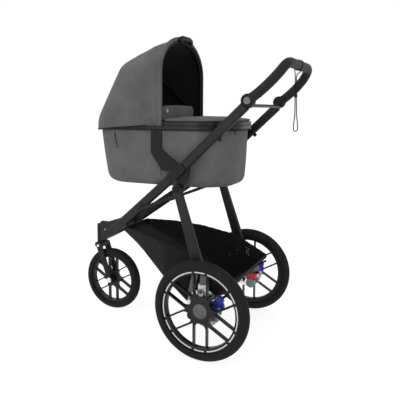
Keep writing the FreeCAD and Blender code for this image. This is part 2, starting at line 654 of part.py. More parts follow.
def cross_beam():
    """The tie between the knuckles; its turned ends are the swing arms' pivots."""
    tube = disc(-KNUCKLE_OUT, KNUCKLE_OUT, ARM_Y, ARM_Z, BEAM_RADIUS)
    pin = disc(KNUCKLE_OUT, ARM_OUT + GAP, ARM_Y, ARM_Z, LEG_PIN_RADIUS)
    cap = disc(ARM_OUT + GAP, ARM_OUT + 3, ARM_Y, ARM_Z, 12)
    return fused(tube, pin, cap, mirrored(pin), mirrored(cap))


def strut_foot():
    """The tapered strut under the leg that bears on the bushing."""
    height = LEG_FOOT_Z - BUSHING_TOP
    cone = Part.makeCone(15, 9.5, height, point(BUSHING_X, STRUT_Y, BUSHING_TOP))
    return cone


def bushing():
    """The ribbed elastomer spring between strut and swing arm."""
    height = BUSHING_TOP - GAP - BUSHING_BOTTOM
    core = Part.makeCylinder(BUSHING_RADIUS - 1.5, height, point(BUSHING_X, STRUT_Y, BUSHING_BOTTOM))
    ribs = []
    pitch = height / 6
    for number in range(6):
        base = point(BUSHING_X, STRUT_Y, BUSHING_BOTTOM + (number + 0.2) * pitch)
        ribs.append(Part.makeCylinder(BUSHING_RADIUS, 0.6 * pitch, base))
    return fused(core, *ribs)


def swing_arm():
    """The short trailing arm with the wheel's stub axle, spring seat and brake carrier."""
    axle = (0, REAR_RADIUS)
    arm = link(ARM_IN, ARM_OUT, (ARM_Y, ARM_Z), axle, 17)
    carrier = link(ARM_IN, ARM_OUT, axle, (CALIPER_Y - 8, CALIPER_Z - 8), 13)
    foot = link(ARM_IN, ARM_OUT, axle, (BASE_Y, BASE_Z), 13)
    stub = disc(ARM_OUT, REAR_HUB_OUT - 1, 0, REAR_RADIUS, AXLE_RADIUS)
    shoulder = disc(ARM_OUT, ROTOR_IN - GAP, 0, REAR_RADIUS, 16)
    post = block(ARM_IN, ARM_OUT, STRUT_Y - 14, STRUT_Y + 14, REAR_RADIUS, BUSHING_BOTTOM)
    seat = Part.makeCylinder(BUSHING_RADIUS - 1.5, 8, point(BUSHING_X, STRUT_Y, BUSHING_BOTTOM - 8))
    bore = disc(ARM_IN - 1, ARM_OUT + 1, ARM_Y, ARM_Z, LEG_PIN_RADIUS + RUNNING)
    return fused(arm, carrier, foot, stub, shoulder, post, seat).cut(bore)


def caliper():
    """The brake body that straddles the rotor, bolted to the swing arm's outer face."""
    body = link(ARM_OUT, REAR_HUB_IN + 8, (CALIPER_Y - 4, CALIPER_Z - 8), (CALIPER_Y + 6, CALIPER_Z + 10), 15)
    ear = link(ARM_OUT, REAR_HUB_IN + 4, (CALIPER_Y + 6, CALIPER_Z + 10), (CALIPER_Y + 14, CALIPER_Z - 14), 9)
    slot = disc(ROTOR_IN - 1, REAR_HUB_IN + 1, 0, REAR_RADIUS, ROTOR_RADIUS + 1.5)
    return fused(body, ear).cut(slot)


def caliper_lever():
    """The cable arm on the caliper's inner face, clear of the turning wheel."""
    outer = ARM_OUT - GAP
    return link(outer - 4, outer, (LEVER_Y, LEVER_Z), (LEVER_Y + 22, LEVER_Z + 14), 4.5)


def brake_pad_block():
    return block(ARM_IN - 19, ARM_IN, PAD_Y - 19, PAD_Y + 19, PAD_Z - 11, PAD_Z + 12)


def brake_base():
    return disc(ARM_IN - 20, ARM_IN, BASE_Y, BASE_Z, BASE_RADIUS)


# Bassinet


def tub(inset, lift, top):
    """The bassinet's outline lofted through its levels, drawn in by an inset."""
    wires = []
    for z, side_step, head_step, foot_step in BODY_LEVELS:
        half = BASSINET_HALF_WIDTH - side_step - inset
        head = BASSINET_HEAD + head_step + inset
        foot = BASSINET_FOOT - foot_step - inset
        height = top if z == RIM_BOTTOM else z + lift
        wires.append(rounded_wire(half, head, foot, CORNER_RADIUS - side_step - inset, height))
    return Part.makeLoft(wires, True, True)


def bassinet_body():
    return tub(0, 0, RIM_BOTTOM).cut(tub(BODY_WALL, BODY_WALL, RIM_BOTTOM + 5))


def bassinet_rim():
    outer = Part.Face(rounded_wire(BASSINET_HALF_WIDTH, BASSINET_HEAD, BASSINET_FOOT, CORNER_RADIUS, RIM_BOTTOM))
    t = RIM_THICKNESS
    inner = Part.Face(rounded_wire(BASSINET_HALF_WIDTH - t, BASSINET_HEAD + t, BASSINET_FOOT - t,
                                   CORNER_RADIUS - t, RIM_BOTTOM))
    band = outer.cut(inner).extrude(ALONG_Z * (RIM_TOP - RIM_BOTTOM))
    bracket = bow_bracket()
    return fused(band, bracket, mirrored(bracket))


def mattress():
    """A flat pad lying on the bassinet's floor."""
    _, side_step, head_step, foot_step = BODY_LEVELS[0]
    inset = BODY_WALL + 6
    face = Part.Face(rounded_wire(BASSINET_HALF_WIDTH - side_step - inset, BASSINET_HEAD + head_step + inset,
                                  BASSINET_FOOT - foot_step - inset, CORNER_RADIUS - side_step - inset,
                                  BASSINET_BOTTOM + BODY_WALL + GAP))
    return face.extrude(ALONG_Z * MATTRESS_THICKNESS)


def apron():
    """The cover that snaps over the foot end, lying on the rim."""
    t = 5.0
    face = Part.Face(rounded_wire(BASSINET_HALF_WIDTH - t, BASSINET_HEAD + t, BASSINET_FOOT - t,
                                  CORNER_RADIUS - t, RIM_TOP + GAP))
    sheet = face.extrude(ALONG_Z * APRON_THICKNESS)
    keep = block(-250, 250, APRON_FRONT, BASSINET_FOOT + 50, RIM_TOP - 10, RIM_TOP + 60)
    tongue = block(-TONGUE_HALF_WIDTH, TONGUE_HALF_WIDTH, TONGUE_FRONT, APRON_FRONT + 1,
                   RIM_TOP + GAP, RIM_TOP + GAP + APRON_THICKNESS)
    return fused(sheet.common(keep), tongue)


def wind_flap():
    """The raised lip at the apron's head end."""
    base = RIM_TOP + GAP + APRON_THICKNESS
    return block(-FLAP_HALF_WIDTH, FLAP_HALF_WIDTH, TONGUE_FRONT, TONGUE_FRONT + 8, base, base + FLAP_HEIGHT)


def mount_arm():
    """The carrier arm from under the rim to the ledge on the frame's side joint."""
    tongue = LEDGE_TOP + GAP
    return plate(MOUNT_IN, MOUNT_OUT, [
        (-264, RIM_BOTTOM), (-216, RIM_BOTTOM), (-218, 800), (LEDGE_BACK, 722), (LEDGE_BACK, tongue),
        (LEDGE_FRONT, tongue), (LEDGE_FRONT, 711), (-214, 711), (-264, 782)])


# Canopy: front bow, middle bow and the fabric over them

def arch_edges(half_width, height, shoulder, foot):
    """An upright arch on a foot line: straight legs and half an ellipse."""
    spring = foot + ALONG_Z * (height - shoulder)
    left, right = spring - ALONG_X * half_width, spring + ALONG_X * half_width
    top = spring + ALONG_Z * shoulder
    if half_width >= shoulder:
        curve, first, last = Part.Ellipse(right, top, spring), 0, math.pi
    else:
        curve, first, last = Part.Ellipse(top, left, spring), -math.pi / 2, math.pi / 2
    over = Part.ArcOfEllipse(curve, first, last).toShape()
    left_leg = Part.makeLine(foot - ALONG_X * half_width, left)
    right_leg = Part.makeLine(right, foot + ALONG_X * half_width)
    return left_leg, over, right_leg


def arch_section(half_width, height, shoulder, foot, lean):
    """The arch closed along its foot line and leant towards the head end."""
    left_leg, over, right_leg = arch_edges(half_width, height, shoulder, foot)
    base = Part.makeLine(foot + ALONG_X * half_width, foot - ALONG_X * half_width)
    wire = Part.Wire(Part.__sortEdges__([left_leg, over, right_leg, base]))
    wire.rotate(foot, ALONG_X, lean)
    return wire


def canopy_form(inset, overrun):
    """The hood lofted through its arches; an overrun carries it past the openings."""
    wires = []
    for set_back, top_y, top_z, shoulder in CANOPY_STATIONS:
        foot = point(0, CANOPY_Y - set_back + overrun, CANOPY_Z - overrun)
        reach = point(0, top_y, top_z) - foot
        if set_back == 0:
            reach.y = 0
        lean = math.degrees(math.atan2(-reach.y, reach.z))
        height = reach.Length - inset
        wires.append(arch_section(CANOPY_HALF_WIDTH - inset, height, shoulder - inset, foot, lean))
    return Part.makeLoft(wires, True, True)


def canopy_fabric():
    """The hood's skin, open towards the foot end and into the bassinet."""
    return canopy_form(0, 0).cut(canopy_form(CANOPY_WALL, 4))


def bow(eye_low, axis_x, top, shoulder, lean, clear):
    """A hoop whose legs start clear of the pivot and reach it through a flat eye."""
    foot = point(0, CANOPY_Y, BOW_PIVOT_Z)
    start = foot + ALONG_Z * clear
    wire = Part.Wire(list(arch_edges(axis_x, top - clear, shoulder, start)))
    ring = Part.Wire(Part.Circle(start - ALONG_X * axis_x, ALONG_Z, BOW_RADIUS).toShape())
    hoop = wire.makePipeShell([ring], True, False)
    pivot = (CANOPY_Y, BOW_PIVOT_Z)
    tongue = link(eye_low, eye_low + BOW_EYE_THICKNESS, pivot, (CANOPY_Y, BOW_PIVOT_Z + clear + 4), BOW_EYE_RADIUS)
    bore = disc(eye_low - 1, eye_low + BOW_EYE_THICKNESS + 1, *pivot, BOW_PIN_RADIUS + RUNNING)
    tongue = tongue.cut(bore)
    shape = fused(hoop, tongue, mirrored(tongue))
    shape.rotate(foot, ALONG_X, lean)
    return shape


def front_bow():
    top = CROWN_TOP_Z - CANOPY_WALL - BOW_RADIUS - 1.8 - BOW_PIVOT_Z
    return bow(FRONT_EYE_LOW, FRONT_BOW_X, top, 143, 0, 14)


def mid_bow():
    reach = point(0, MID_TOP_Y, MID_TOP_Z) - point(0, CANOPY_Y, BOW_PIVOT_Z)
    lean = math.degrees(math.atan2(-reach.y, reach.z))
    return bow(MID_EYE_LOW, MID_BOW_X, reach.Length - 16, 150, lean, 22)


def bow_bracket():
    """The lug inside the rim whose pin carries both bows."""
    pivot = (CANOPY_Y, BOW_PIVOT_Z)
    lug = link(BRACKET_IN, BRACKET_OUT, (CANOPY_Y, RIM_BOTTOM + 14), pivot, 8)
    pin = disc(BRACKET_OUT, FRONT_EYE_LOW + BOW_EYE_THICKNESS + 1.2, *pivot, BOW_PIN_RADIUS)
    return fused(lug, pin)


def carry_handle():
    """The padded grip in front of the hood's crown."""
    y = CANOPY_Y + BOW_RADIUS + CARRY_RADIUS + GAP
    high = CROWN_TOP_Z + 1
    arc = [point(-CARRY_HALF, y, high - CARRY_RISE), point(-CARRY_HALF * 0.6, y, high),
           point(CARRY_HALF * 0.6, y, high), point(CARRY_HALF, y, high - CARRY_RISE)]
    grip, _, _ = tube_along(arc, CARRY_RADIUS)
    return grip


# Basket slung between the front rails, the legs and the cross beam


def basket_form(inset, over_top):
    wires = []
    last = len(BASKET_STATIONS) - 1
    for number, (y, half, low, high) in enumerate(BASKET_STATIONS):
        end_step = inset if number == 0 else -inset if number == last else 0
        y = y + end_step
        half = half - inset
        corners = [point(-half, y, low + inset), point(half, y, low + inset),
                   point(half, y, high + over_top), point(-half, y, high + over_top)]
        wires.append(Part.makePolygon(corners + corners[:1]))
    return Part.makeLoft(wires, True, True)


def basket():
    """The open tray, with a tab at each front corner sewn round the rail."""
    y, half, _, high = BASKET_STATIONS[0]
    tab = block(half - 18, half - 4, y, y + 12, high - 8, high + 40).cut(front_rail())
    low_tab = min(tab.Solids, key=lambda solid: solid.BoundBox.ZMin)
    return fused(basket_form(0, 0).cut(basket_form(BASKET_WALL, 30)), low_tab, mirrored(low_tab))


os.makedirs("parts", exist_ok=True)
rear_wheel()
front_wheel()
save("fork", fork())
save("fork_bolt", fork_bolt())
save("front_axle", front_axle())
housing = nose_housing()
save("nose_housing", housing)
save_pair("front_rail", front_rail().cut(housing))
save("swivel_lock", swivel_lock())
save_pair("folding_brace", folding_brace())
save_pair("upper_rail", upper_rail())
save("side_hubs", both_sides(side_hub()))
save("handle_hubs", both_sides(handle_hub()))
save("cross_brace", cross_brace())
save_pair("fold_trigger", fold_trigger())
save("handlebar", handlebar())
save_pair("handle_button", handle_button())
strap = wrist_strap()
save("strap_collar", strap_collar(strap))
save("wrist_strap", strap)
save("strap_slider", strap_slider(strap))
save_pair("rear_leg", rear_leg())
save("leg_knuckles", both_sides(leg_knuckle()))
save("cross_beam", cross_beam())
save("strut_feet", both_sides(strut_foot()))
save_pair("bushing", bushing())
save_pair("swing_arm", swing_arm())
save_pair("caliper", caliper())
save_pair("caliper_lever", caliper_lever())
save_pair("brake_pad_block", brake_pad_block())
save_pair("brake_base", brake_base())
save("bassinet_body", bassinet_body())
save("bassinet_rim", bassinet_rim())
save("mattress", mattress())
save("apron", apron())
save("wind_flap", wind_flap())
save("mount_arms", both_sides(mount_arm()))
save("canopy_fabric", canopy_fabric())
save("front_bow", front_bow())
save("mid_bow", mid_bow())
save("carry_handle", carry_handle())
save("basket", basket())
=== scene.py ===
# %% [markdown]
# # A three-wheeled baby stroller with a lie-flat bassinet
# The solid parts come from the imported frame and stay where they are. This script adds
# what a solid can't show: cloth, padding, the wrist strap, markings and finishes.
# Lengths are metres; +X is the rider's left, -Y is forwards and +Z is up.

# %%
import json
import math
import random

import bmesh
import bpy
import numpy as np
from mathutils import Matrix, Vector


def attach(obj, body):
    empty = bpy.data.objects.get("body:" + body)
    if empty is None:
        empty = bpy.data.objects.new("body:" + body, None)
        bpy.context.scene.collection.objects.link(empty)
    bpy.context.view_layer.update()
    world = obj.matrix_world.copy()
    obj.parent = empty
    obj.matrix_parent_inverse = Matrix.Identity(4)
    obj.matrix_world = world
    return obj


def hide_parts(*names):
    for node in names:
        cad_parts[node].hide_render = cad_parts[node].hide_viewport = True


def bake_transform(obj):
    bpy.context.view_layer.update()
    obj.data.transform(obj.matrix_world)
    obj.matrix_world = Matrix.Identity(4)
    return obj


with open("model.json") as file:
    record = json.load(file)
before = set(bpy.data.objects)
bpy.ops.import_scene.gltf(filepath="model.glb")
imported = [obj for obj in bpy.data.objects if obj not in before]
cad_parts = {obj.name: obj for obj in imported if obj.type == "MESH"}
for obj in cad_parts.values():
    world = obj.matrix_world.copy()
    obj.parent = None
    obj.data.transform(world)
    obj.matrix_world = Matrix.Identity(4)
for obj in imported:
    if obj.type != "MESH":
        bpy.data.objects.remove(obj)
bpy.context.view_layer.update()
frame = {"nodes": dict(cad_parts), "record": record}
nodes = frame["nodes"]
random.seed(4)

# %% [markdown]
# ## Places
# Distances are easiest to read as millimetres behind the rear axle, across and above
# the ground. `at` turns such a place into the frame's metres.

# %%
AXLE_Y = 216.5


def at(x, y, z):
    """A place in the frame, from millimetres across, behind the rear axle and up."""
    return Vector((x / 1000, (y + AXLE_Y) / 1000, z / 1000))


# %% [markdown]
# ## Camera
# A short telephoto lens about 2 m to the left and a little behind looks across the
# bassinet's rim. The lens shift moves the stroller within the picture.

# %%
def make_camera():
    camera = bpy.data.cameras.new("camera")
    camera.lens = 45.44
    camera.sensor_width = 36
    camera.shift_x, camera.shift_y = 0.075, -0.09
    right = Vector((-0.45658, 0.88968, 0))
    up = Vector((-0.09296, -0.04771, 0.99453))
    back = Vector((0.88481, 0.45408, 0.10449))
    holder = bpy.data.objects.new("camera", camera)
    turn = Matrix((right, up, back)).transposed().to_4x4()
    holder.matrix_world = Matrix.Translation(at(1991.5, 742.0, 951.3)) @ turn
    bpy.context.scene.collection.objects.link(holder)
    bpy.context.scene.camera = holder


make_camera()

# %% [markdown]
# ## Wrist strap
# One round cord leaves the collar on the grip, runs down through the slider, turns in a
# small loop and comes back up. Its points repeat the ones the solid was swept along.

# %%
STRAP_POINTS = (
    (265.2, 1113.2), (265.2, 1105.5), (267.2, 1094.0), (268.1, 1073.0), (268.5, 1040.0), (268.9, 1002.0),
    (269.3, 965.0), (269.6, 932.0), (266.3, 905.0), (265.4, 889.0), (265.6, 876.6), (270.2, 872.0),
    (276.6, 872.0), (281.2, 876.6), (281.4, 889.0), (280.6, 905.0), (276.4, 932.0), (274.9, 965.0),
    (273.8, 1002.0), (273.2, 1040.0), (272.7, 1073.0), (273.6, 1094.0), (291.0, 1103.0), (292.5, 1111.1),
)
STRAP_DIAMETER = 0.004


def make_strap():
    curve = bpy.data.curves.new("strap", "CURVE")
    curve.dimensions = "3D"
    curve.bevel_depth = 1.0
    curve.bevel_resolution = 4
    curve.use_fill_caps = True
    spline = curve.splines.new("NURBS")
    spline.points.add(len(STRAP_POINTS) - 1)
    for place, (y, z) in zip(spline.points, STRAP_POINTS):
        place.co = (*at(0, y, z), 1)
        place.radius = STRAP_DIAMETER / 2
    spline.order_u = 3
    spline.use_endpoint_u = True
    spline.resolution_u = 12
    strap = bpy.data.objects.new("wrist_strap_cord", curve)
    bpy.context.scene.collection.objects.link(strap)
    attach(strap, "grip_bar")
    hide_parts("wrist_strap")
    return strap


strap = make_strap()

# %% [markdown]
# ## Materials
# Colours are written as sRGB hex and turned to linear once. Every pattern's scale comes
# from a real size: a weave of about 1 mm, leather pores of 1.5 mm, tyre grain of 3 mm.

# %%
def linear(colour):
    """sRGB hex to linear RGBA."""
    parts = [int(colour[i:i + 2], 16) / 255 for i in (1, 3, 5)]
    return (*[p / 12.92 if p <= 0.04045 else ((p + 0.055) / 1.055) ** 2.4 for p in parts], 1)


class Finish:
    """A material's node tree with one short way to add a node."""

    def __init__(self, name):
        self.material = bpy.data.materials.new(name)
        self.material.use_nodes = True
        self.tree = self.material.node_tree
        self.shader = self.tree.nodes["Principled BSDF"]
        self.place = self.add("ShaderNodeTexCoord").outputs["Object"]

    def add(self, kind, settings=None, **inputs):
        node = self.tree.nodes.new(kind)
        for name, value in (settings or {}).items():
            setattr(node, name, value)
        for name, value in inputs.items():
            self.set(node, name.replace("_", " "), value)
        return node

    def set(self, node, name, value):
        if isinstance(value, bpy.types.NodeSocket):
            self.tree.links.new(value, node.inputs[name])
        else:
            node.inputs[name].default_value = value

    def noise(self, size, detail=3.0, rough=0.6):
        """Noise whose blobs are about `size` metres across."""
        return self.add("ShaderNodeTexNoise", Vector=self.place, Scale=1 / size, Detail=detail,
                        Roughness=rough).outputs["Fac"]

    def stretch(self, x, y, z):
        return self.add("ShaderNodeMapping", Vector=self.place, Scale=(x, y, z)).outputs["Vector"]

    def ramp(self, factor, low, high, dark, light):
        node = self.add("ShaderNodeValToRGB", Fac=factor)
        stops = node.color_ramp.elements
        stops[0].position, stops[0].color = low, linear(dark)
        stops[1].position, stops[1].color = high, linear(light)
        return node.outputs["Color"]

    def bump(self, height, depth, strength=1.0, under=None):
        node = self.add("ShaderNodeBump", Height=height, Distance=depth, Strength=strength)
        if under is not None:
            self.set(node, "Normal", under)
        return node.outputs["Normal"]

    def finish(self, **inputs):
        for name, value in inputs.items():
            self.set(self.shader, name.replace("_", " "), value)
        return self.material


WAVE_BANDS = 0.31  # metres between a wave texture's bands at a scale of one


def melange_cloth(name, dark, light, weave=0.0011):
    """Woven cloth of mixed yarns: fine flecks, a plain weave and slow wear."""
    f = Finish(name)
    flecks = f.noise(0.0012, 2.0, 0.7)
    slow = f.noise(0.12, 2.0)
    mix = f.add("ShaderNodeMath", {"operation": "MULTIPLY_ADD"})
    f.set(mix, 0, slow)
    mix.inputs[1].default_value = 0.35
    f.tree.links.new(flecks, mix.inputs[2])
    colour = f.ramp(mix.outputs[0], 0.45, 0.85, dark, light)
    both = f.add("ShaderNodeMath", {"operation": "MULTIPLY"})
    for number, direction in enumerate(("Y", "Z")):
        yarns = f.add("ShaderNodeTexWave", {"bands_direction": direction}, Vector=f.place,
                      Scale=WAVE_BANDS / weave)
        f.tree.links.new(yarns.outputs["Fac"], both.inputs[number])
    fine = f.bump(both.outputs[0], 0.0003, 0.6)
    soft = f.bump(f.noise(0.03, 2.0), 0.003, 0.5, fine)
    return f.finish(Base_Color=colour, Roughness=0.92, Sheen_Weight=0.06, Sheen_Roughness=0.5, Normal=soft,
                    Specular_IOR_Level=0.12)


def satin_metal(name, dark, light, rough=0.42, shine=0.3):
    """Powder coat: a fine orange peel with slow changes of gloss."""
    f = Finish(name)
    gloss = f.add("ShaderNodeMapRange", Value=f.noise(0.05), To_Min=rough - 0.05, To_Max=rough + 0.07)
    return f.finish(Base_Color=f.ramp(f.noise(0.2), 0.3, 0.7, dark, light), Specular_IOR_Level=shine,
                    Roughness=gloss.outputs["Result"], Normal=f.bump(f.noise(0.0016, 2.0), 0.0002, 0.3))


def moulded(name, dark, light, rough=0.45, grain=0.0012, depth=0.0001, coat=0.0, shine=0.25):
    """Moulded plastic with a spark-eroded grain."""
    f = Finish(name)
    gloss = f.add("ShaderNodeMapRange", Value=f.noise(0.03), To_Min=rough - 0.05, To_Max=rough + 0.08)
    colour = f.ramp(f.noise(0.08), 0.35, 0.65, dark, light)
    return f.finish(Base_Color=colour, Roughness=gloss.outputs["Result"],
                    Normal=f.bump(f.noise(grain, 2.0), depth, 0.5), Coat_Weight=coat, Coat_Roughness=0.1,
                    Specular_IOR_Level=shine)


def pored_leather(name, dark, light):
    """Wrapped grip: close-set pores and soft creases."""
    f = Finish(name)
    pores = f.add("ShaderNodeTexVoronoi", Vector=f.place, Scale=1 / 0.0016).outputs["Distance"]
    fine = f.bump(pores, 0.0005, 0.8)
    return f.finish(Base_Color=f.ramp(pores, 0.1, 0.6, dark, light), Roughness=0.6,
                    Normal=f.bump(f.noise(0.02), 0.0008, 0.4, fine), Specular_IOR_Level=0.2)


def tyre_rubber(name):
    """Dusty rubber, a little lighter where it has rubbed."""
    f = Finish(name)
    dust = f.ramp(f.noise(0.025, 5.0), 0.35, 0.75, "#0b0b0b", "#151515")
    return f.finish(Base_Color=dust, Roughness=0.78, Normal=f.bump(f.noise(0.003, 4.0), 0.0004, 0.5),
                    Specular_IOR_Level=0.18)


def bright_metal(name, colour, rough=0.25):
    f = Finish(name)
    brushed = f.add("ShaderNodeTexNoise", Vector=f.stretch(200, 20, 20), Scale=10.0).outputs["Fac"]
    gloss = f.add("ShaderNodeMapRange", Value=brushed, To_Min=rough - 0.06, To_Max=rough + 0.1)
    return f.finish(Base_Color=f.ramp(f.noise(0.02), 0.3, 0.7, colour, "#f0f0f0"), Metallic=1.0,
                    Roughness=gloss.outputs["Result"])


def honeycomb_mesh(name):
    """Knitted mesh: small round holes in black yarn let the light through."""
    f = Finish(name)
    cells = f.add("ShaderNodeTexVoronoi", Vector=f.place, Scale=1 / 0.0042, Randomness=0.15)
    hole = f.add("ShaderNodeMath", {"operation": "LESS_THAN"})
    f.tree.links.new(cells.outputs["Distance"], hole.inputs[0])
    hole.inputs[1].default_value = 0.33
    solid = f.add("ShaderNodeMath", {"operation": "SUBTRACT"})
    solid.inputs[0].default_value = 1.0
    f.tree.links.new(hole.outputs[0], solid.inputs[1])
    yarn = f.ramp(f.noise(0.001), 0.3, 0.7, "#090909", "#141414")
    return f.finish(Base_Color=yarn, Specular_IOR_Level=0.15, Roughness=0.8, Alpha=solid.outputs[0])


finishes = {
    "frame_satin": satin_metal("powder_coated_aluminium", "#0b0b0c", "#141415", shine=0.2),
    "fitting_black": moulded("black_nylon", "#060606", "#0d0d0d", 0.5, shine=0.18),
    "tyre_black": tyre_rubber("foam_filled_rubber"),
    "wheel_black": moulded("black_wheel_nylon", "#070707", "#0e0e0e", 0.4),
    "cap_grey": moulded("grey_cap_abs", "#434343", "#4e4e4e", 0.4),
    "bright_steel": bright_metal("zinc_plated_steel", "#bdbdbd"),
    "grip_leather": pored_leather("stippled_leatherette", "#070707", "#131313"),
    "button_grey": moulded("grey_button_abs", "#565656", "#626262", 0.42),
    "cord_black": melange_cloth("braided_polyester_cord", "#080808", "#141414", 0.0006),
    "fabric_grey": melange_cloth("grey_melange_polyester", "#333335", "#5b5b5c"),
    "fabric_black": melange_cloth("black_polyester_lining", "#0c0c0c", "#181818"),
    "rim_band": moulded("glossy_black_band", "#090909", "#101010", 0.35, coat=0.1, shine=0.2),
    "bracket_grey": satin_metal("grey_cast_magnesium", "#5f5f5f", "#7a7a7a", 0.38),
    "elastomer_white": moulded("white_elastomer", "#dcdad4", "#efede7", 0.6, 0.004, 0.0002),
    "caliper_blue": satin_metal("blue_anodised_alloy", "#17247f", "#2232a6", 0.3),
    "pad_red": moulded("red_nylon", "#9c2736", "#bb3648", 0.4),
    "base_green_grey": moulded("grey_green_nylon", "#5f6f6b", "#75857f", 0.45),
}
extra = {
    "seam": melange_cloth("grey_seam_binding", "#19191a", "#2c2c2d"),
    "painted_highlight": moulded("painted_highlight_ring", "#a9a9a9", "#c6c6c6", 0.35),
    # painted highlight: a light grey ring on the rear rims stands in for light caught by the rim
    "mesh": honeycomb_mesh("knitted_black_mesh"),
    "green": moulded("green_adjuster_nylon", "#2f8a50", "#45a969", 0.35),
    "zip": bright_metal("zip_puller_alloy", "#9a9a9a", 0.35),
    "hem": melange_cloth("rolled_melange_hem", "#333334", "#5a5a5b"),
}

for part in frame["record"]["subparts"]:
    node = nodes[part["node"]]
    node.data.materials.clear()
    node.data.materials.append(finishes[part["material_slot"]])
strap.data.materials.append(finishes["cord_black"])
print("finishes:", len(finishes) + len(extra))

# %% [markdown]
# ## Shared builders
# A piece is a grid of rows of points, a pillow grown inwards from an outline, or a thin
# line with a round section. Each one rides on the body that it is fixed to.

# %%
def mesh_piece(name, points, faces, materials, face_slots=None):
    mesh = bpy.data.meshes.new(name)
    mesh.from_pydata([tuple(p) for p in points], [], faces)
    for material in materials:
        mesh.materials.append(material)
    if face_slots:
        mesh.polygons.foreach_set("material_index", face_slots)
    mesh.polygons.foreach_set("use_smooth", [True] * len(mesh.polygons))
    mesh.update()
    piece = bpy.data.objects.new(name, mesh)
    bpy.context.scene.collection.objects.link(piece)
    return piece


def grid_faces(rows, columns, around=False):
    """Quads between neighbouring rows; `around` joins each row's ends."""
    steps = columns if around else columns - 1
    faces = []
    for r in range(rows - 1):
        for c in range(steps):
            d = (c + 1) % columns
            faces.append((r * columns + c, r * columns + d, (r + 1) * columns + d, (r + 1) * columns + c))
    return faces


def weld(piece, distance=0.00005):
    """Joins points that meet, so that the piece is closed."""
    work = bmesh.new()
    work.from_mesh(piece.data)
    bmesh.ops.remove_doubles(work, verts=work.verts, dist=distance)
    bmesh.ops.recalc_face_normals(work, faces=work.faces)
    work.to_mesh(piece.data)
    work.free()


def thicken(piece, thickness, inner_slot=0, offset=-1):
    """Gives a grid real thickness; its inner face can show another material."""
    solid = piece.modifiers.new("thickness", "SOLIDIFY")
    solid.thickness = thickness
    solid.offset = offset
    solid.material_offset = inner_slot
    bpy.context.view_layer.objects.active = piece
    with bpy.context.temp_override(object=piece, active_object=piece):
        bpy.ops.object.modifier_apply(modifier=solid.name)
    piece.data.polygons.foreach_set("use_smooth", [True] * len(piece.data.polygons))


def line(name, points, radius, material, body, closed=False):
    """A thin round line: a seam, a rolled hem or a small moulding."""
    curve = bpy.data.curves.new(name, "CURVE")
    curve.dimensions = "3D"
    curve.bevel_depth = radius
    curve.bevel_resolution = 3
    curve.use_fill_caps = True
    spline = curve.splines.new("POLY")
    spline.points.add(len(points) - 1)
    for place, p in zip(spline.points, points):
        place.co = (*p, 1)
    spline.use_cyclic_u = closed
    curve.materials.append(material)
    piece = bpy.data.objects.new(name, curve)
    bpy.context.scene.collection.objects.link(piece)
    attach(piece, body)
    return piece


def wobble(seed, *waves):
    """A smooth repeatable noise: a few sines of the given wavelengths in metres."""
    source = random.Random(seed)
    terms = []
    for wave in waves:
        phase = source.uniform(0, 6.28)
        terms.append((2 * math.pi / wave, phase, source.uniform(-1, 1), source.uniform(-1, 1)))

    def value(a, b):
        heights = [math.sin(k * (a * (1 + 0.2 * u) + b * v) + phase) for k, phase, u, v in terms]
        return sum(heights) / len(heights)
    return value


def ring_about_x(x, y, z, radius, steps):
    """Points round a circle whose axis lies along X."""
    turns = np.linspace(0, 2 * math.pi, steps + 1)[:-1]
    return [at(x, y + radius * math.sin(a), z + radius * math.cos(a)) for a in turns]


def rounded_outline(half, low, high, radius, steps=14):
    """A rounded rectangle of (x, y) millimetres, from the foot end's left corner round."""
    places = []
    corners = ((1, 1, 0), (-1, 1, 90), (-1, -1, 180), (1, -1, 270))
    for sx, sy, start in corners:
        cx = sx * (half - radius)
        cy = (high - radius) if sy > 0 else (low + radius)
        for k in range(steps + 1):
            a = math.radians(start + 90 * k / steps)
            places.append((cx + radius * math.cos(a), cy + radius * math.sin(a)))
    return places


def spread(places, count, closed=True):
    """Points evenly spaced along a chain."""
    chain = np.array(list(places) + ([places[0]] if closed else []), float)
    run = np.concatenate([[0], np.cumsum(np.linalg.norm(np.diff(chain, axis=0), axis=1))])
    marks = np.linspace(0, run[-1], count + (1 if closed else 0))
    if closed:
        marks = marks[:-1]
    return np.stack([np.interp(marks, run, chain[:, k]) for k in range(chain.shape[1])], 1)


def pillow(name, outline, place, thickness, crown, material, edge=0.12, rings=16, flat_below=True,
           lumps=0.0, seed=1):
    """A stuffed pad: rings shrink from the outline to the middle on both faces."""
    middle = outline.mean(0)
    count = len(outline)
    noise = wobble(seed, 60, 95, 140)
    points = []
    fractions = [1 - (k / rings) ** 1.5 for k in range(rings + 1)]
    order = [(-1, f) for f in reversed(fractions)] + [(1, f) for f in fractions[1:]]
    for side, f in order:
        inside = min(1.0, (1 - f) / edge)
        swell = thickness / 2 * math.sqrt(max(0.0, 1 - (1 - inside) ** 2))
        f = max(f, 0.002)
        for u, v in outline:
            a, b = middle[0] + (u - middle[0]) * f, middle[1] + (v - middle[1]) * f
            height = side * swell
            if side > 0 or not flat_below:
                height += side * (crown * (1 - f * f) + lumps * noise(a, b) * (1 - f ** 6))
            points.append(place(a, b, height + thickness / 2))
    piece = mesh_piece(name, points, grid_faces(len(order), count, True), [material])
    weld(piece, 0.0006)
    return piece


# %% [markdown]
# ## Bassinet
# The shell is one padded wall with the melange cloth outside and a black lining inside.
# It swells a little between rim and floor and is tucked under at the bottom.

# %%
BASSINET_LEVELS = ((645, 42, 62, 46), (656, 30, 44, 32), (676, 20, 34, 25), (875, 3, 6, 15))
HEAD, FOOT, HALF, CORNER = -592, 74, 200, 170


